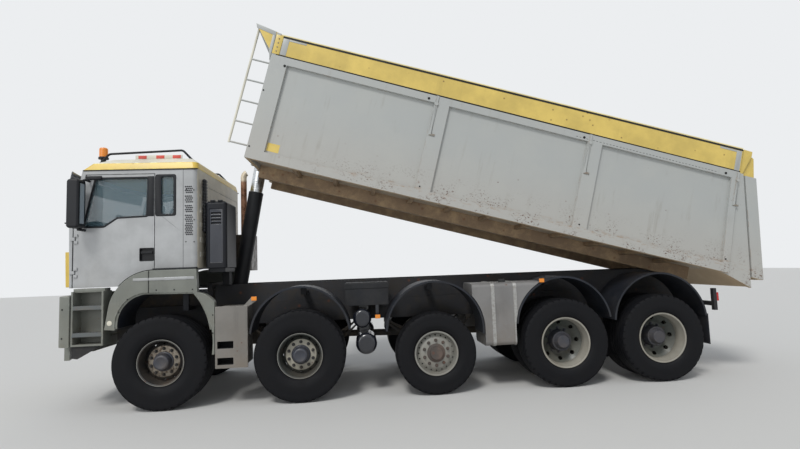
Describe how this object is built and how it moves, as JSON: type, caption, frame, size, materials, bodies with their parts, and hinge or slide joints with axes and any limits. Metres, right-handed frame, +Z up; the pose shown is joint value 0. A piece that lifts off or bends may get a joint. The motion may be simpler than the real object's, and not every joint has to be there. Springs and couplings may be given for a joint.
{
  "type": "tipper truck",
  "caption": "Heavy tipper truck with five axles, twin rear wheels, a flat-fronted cab and a long box body raised on a telescopic front cylinder.",
  "frame": {"origin": "on the ground under the middle of the truck", "axes": "+X forward, +Y to the truck's left, +Z up"},
  "size_m": [9.9119, 2.8, 5.1673],
  "materials": {
    "cab_paint": "satin grey paint",
    "cab_yellow": "faded yellow paint",
    "bumper_paint": "satin grey green paint",
    "body_paint": "worn warm grey paint",
    "frame_paint": "dusty black paint",
    "tank_paint": "satin grey paint",
    "black_plastic": "matte black",
    "cast_parts": "dusty cast metal",
    "rust_steel": "rusty heat stained steel",
    "chrome_rod": "polished hard chrome",
    "tyre": "dusty black rubber",
    "rim_black": "black paint",
    "rim_grey": "grey paint",
    "rim_white": "off-white paint",
    "glass": "tinted",
    "lamp": "amber lens",
    "seat_cloth": "woven cloth"
  },
  "bodies": {
    "chassis": {"chassis_frame": "frame_paint", "tipper_subframe": "frame_paint", "engine_and_gearbox": "cast_parts", "axles_and_springs": "cast_parts", "bumper": "bumper_paint", "entry_steps": "bumper_paint", "front_fenders": "bumper_paint", "rear_fenders": "black_plastic", "step_boxes": "tank_paint", "fuel_tanks": "tank_paint", "battery_and_air_tanks": "frame_paint", "intake_box": "black_plastic", "exhaust_stack": "rust_steel", "lamps": "lamp"},
    "cab": {"cab_shell": "cab_paint", "cab_roof": "cab_yellow", "cab_glass": "glass", "front_panel": "cab_yellow", "sun_visor": "black_plastic", "roof_rail": "black_plastic", "seats": "seat_cloth", "dashboard": "black_plastic"},
    "door_left": {"door_left": "cab_paint", "door_glass_left": "glass", "mirror_left": "black_plastic"},
    "door_right": {"door_right": "cab_paint", "door_glass_right": "glass", "mirror_right": "black_plastic"},
    "bed": {"load_body": "body_paint", "side_boards": "cab_yellow", "body_underframe": "frame_paint"},
    "tailgate": {"tailgate": "body_paint"},
    "cylinder_tube": {"cylinder_tube": "frame_paint"},
    "cylinder_stage_1": {"cylinder_stage_1": "chrome_rod"},
    "cylinder_stage_2": {"cylinder_stage_2": "chrome_rod"},
    "cylinder_stage_3": {"cylinder_stage_3": "chrome_rod"},
    "wheel_1_left": {"tyre_1_left": "tyre", "rim_1_left": "rim_black"},
    "knuckle_1_left": {"knuckle_1_left": "cast_parts"},
    "wheel_1_right": {"tyre_1_right": "tyre", "rim_1_right": "rim_black"},
    "knuckle_1_right": {"knuckle_1_right": "cast_parts"},
    "wheel_2_left": {"tyre_2_left": "tyre", "rim_2_left": "rim_grey"},
    "knuckle_2_left": {"knuckle_2_left": "cast_parts"},
    "wheel_2_right": {"tyre_2_right": "tyre", "rim_2_right": "rim_grey"},
    "knuckle_2_right": {"knuckle_2_right": "cast_parts"},
    "wheel_3_left": {"tyre_3_left": "tyre", "rim_3_left": "rim_grey"},
    "wheel_3_right": {"tyre_3_right": "tyre", "rim_3_right": "rim_grey"},
    "wheel_4_left": {"tyre_4_left": "tyre", "rim_4_left": "rim_white"},
    "wheel_4_right": {"tyre_4_right": "tyre", "rim_4_right": "rim_white"},
    "wheel_5_left": {"tyre_5_left": "tyre", "rim_5_left": "rim_white"},
    "wheel_5_right": {"tyre_5_right": "tyre", "rim_5_right": "rim_white"}
  },
  "joints": [
    {"name": "steer_1_left", "type": "hinge", "parent": "chassis", "child": "knuckle_1_left", "pos_m": [3.481, 0.9375, 0.6015], "axis": [0, 0, 1], "range_deg": [-35, 35]},
    {"name": "wheel_1_left_spin", "type": "hinge", "parent": "knuckle_1_left", "child": "wheel_1_left", "pos_m": [3.481, 1.0275, 0.6015], "axis": [0, 1, 0], "continuous": true},
    {"name": "steer_1_right", "type": "hinge", "parent": "chassis", "child": "knuckle_1_right", "pos_m": [3.481, -0.9375, 0.6015], "axis": [0, 0, 1], "range_deg": [-35, 35]},
    {"name": "wheel_1_right_spin", "type": "hinge", "parent": "knuckle_1_right", "child": "wheel_1_right", "pos_m": [3.481, -1.0275, 0.6015], "axis": [0, 1, 0], "continuous": true},
    {"name": "steer_2_left", "type": "hinge", "parent": "chassis", "child": "knuckle_2_left", "pos_m": [1.706, 0.9375, 0.6015], "axis": [0, 0, 1], "range_deg": [-25, 25]},
    {"name": "wheel_2_left_spin", "type": "hinge", "parent": "knuckle_2_left", "child": "wheel_2_left", "pos_m": [1.706, 1.0275, 0.6015], "axis": [0, 1, 0], "continuous": true},
    {"name": "steer_2_right", "type": "hinge", "parent": "chassis", "child": "knuckle_2_right", "pos_m": [1.706, -0.9375, 0.6015], "axis": [0, 0, 1], "range_deg": [-25, 25]},
    {"name": "wheel_2_right_spin", "type": "hinge", "parent": "knuckle_2_right", "child": "wheel_2_right", "pos_m": [1.706, -1.0275, 0.6015], "axis": [0, 1, 0], "continuous": true},
    {"name": "wheel_3_left_spin", "type": "hinge", "parent": "chassis", "child": "wheel_3_left", "pos_m": [-0.109, 1.0575, 0.545], "axis": [0, 1, 0], "continuous": true},
    {"name": "wheel_3_right_spin", "type": "hinge", "parent": "chassis", "child": "wheel_3_right", "pos_m": [-0.109, -1.0575, 0.545], "axis": [0, 1, 0], "continuous": true},
    {"name": "wheel_4_left_spin", "type": "hinge", "parent": "chassis", "child": "wheel_4_left", "pos_m": [-1.909, 1.0875, 0.601], "axis": [0, 1, 0], "continuous": true},
    {"name": "wheel_4_right_spin", "type": "hinge", "parent": "chassis", "child": "wheel_4_right", "pos_m": [-1.909, -1.0875, 0.601], "axis": [0, 1, 0], "continuous": true},
    {"name": "wheel_5_left_spin", "type": "hinge", "parent": "chassis", "child": "wheel_5_left", "pos_m": [-3.309, 1.0875, 0.601], "axis": [0, 1, 0], "continuous": true},
    {"name": "wheel_5_right_spin", "type": "hinge", "parent": "chassis", "child": "wheel_5_right", "pos_m": [-3.309, -1.0875, 0.601], "axis": [0, 1, 0], "continuous": true},
    {"name": "cab_tilt", "type": "hinge", "parent": "chassis", "child": "cab", "pos_m": [4.681, 0, 1], "axis": [0, 1, 0], "range_deg": [0, 60]},
    {"name": "door_left_hinge", "type": "hinge", "parent": "cab", "child": "door_left", "pos_m": [4.603, 1.127, 2.02], "axis": [0, 0, -1], "range_deg": [0, 75]},
    {"name": "door_right_hinge", "type": "hinge", "parent": "cab", "child": "door_right", "pos_m": [4.603, -1.127, 2.02], "axis": [0, 0, 1], "range_deg": [0, 75]},
    {"name": "tip", "type": "hinge", "parent": "chassis", "child": "bed", "pos_m": [-3.852, 0, 1.43], "axis": [0, -1, 0], "range_deg": [-15, 32]},
    {"name": "tailgate_hinge", "type": "hinge", "parent": "bed", "child": "tailgate", "pos_m": [-4.86001, 0, 3.18283], "axis": [0, 1, 0], "range_deg": [0, 60]},
    {"name": "cylinder_base", "type": "hinge", "parent": "chassis", "child": "cylinder_tube", "pos_m": [2.85, 0, 1], "axis": [0, -1, 0], "range_deg": [-8.3, 17.7]},
    {"name": "cylinder_slide_1", "type": "slide", "parent": "cylinder_tube", "child": "cylinder_stage_1", "axis": [-0.1781, 0, 0.984], "range_m": [-0.545, 1.16]},
    {"name": "cylinder_slide_2", "type": "slide", "parent": "cylinder_stage_1", "child": "cylinder_stage_2", "axis": [-0.1781, 0, 0.984], "range_m": [-0.545, 1.16]},
    {"name": "cylinder_slide_3", "type": "slide", "parent": "cylinder_stage_2", "child": "cylinder_stage_3", "axis": [-0.1781, 0, 0.984], "range_m": [-0.545, 1.16]}
  ],
  "couplings": [
    {"joint": "steer_1_right", "follows": "steer_1_left", "ratio": 1},
    {"joint": "steer_2_left", "follows": "steer_1_left", "ratio": 0.71},
    {"joint": "steer_2_right", "follows": "steer_1_left", "ratio": 0.71},
    {"joint": "cylinder_base", "follows": "tip", "ratio": 0.55},
    {"joint": "cylinder_slide_1", "follows": "tip", "m_per_rad": 2.072},
    {"joint": "cylinder_slide_2", "follows": "tip", "m_per_rad": 2.072},
    {"joint": "cylinder_slide_3", "follows": "tip", "m_per_rad": 2.072}
  ]
}
